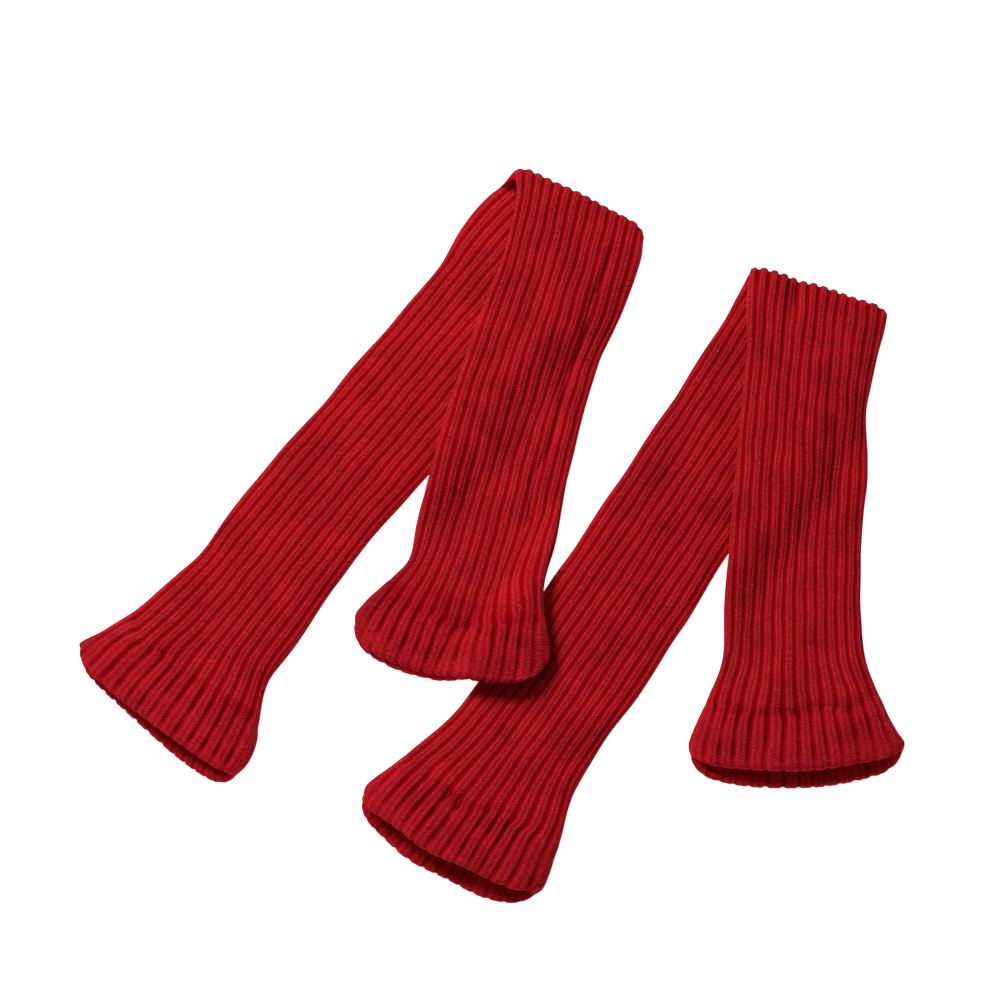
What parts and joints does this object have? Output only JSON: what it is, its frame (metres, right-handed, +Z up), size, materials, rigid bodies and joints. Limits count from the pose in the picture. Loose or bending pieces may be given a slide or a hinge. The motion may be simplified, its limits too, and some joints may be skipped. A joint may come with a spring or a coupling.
{
  "type": "pair of leg warmers",
  "caption": "Pair of long red rib-knit leg warmers with flared open hems, each folded over and laid flat, the second run crossing back over the first.",
  "frame": {"origin": "centre of the pair's outline, on the floor it lies on", "axes": "+Z up from the floor, +Y from the mouths towards the folds, +X to the east leg warmer"},
  "size_m": [0.4825, 0.4815, 0.0314],
  "materials": {
    "rib_knit": "matt rib knit of soft red yarn, ribs running the length of the tube",
    "rib_hem": "the same red yarn in wider, deeper ribs, turned in and linked down"
  },
  "bodies": {
    "root": {"west_first_hem": "rib_hem", "west_first_run": "rib_knit", "west_second_run": "rib_knit", "west_second_hem": "rib_hem", "east_first_hem": "rib_hem", "east_first_run": "rib_knit", "east_second_run": "rib_knit", "east_second_hem": "rib_hem"}
  },
  "joints": []
}
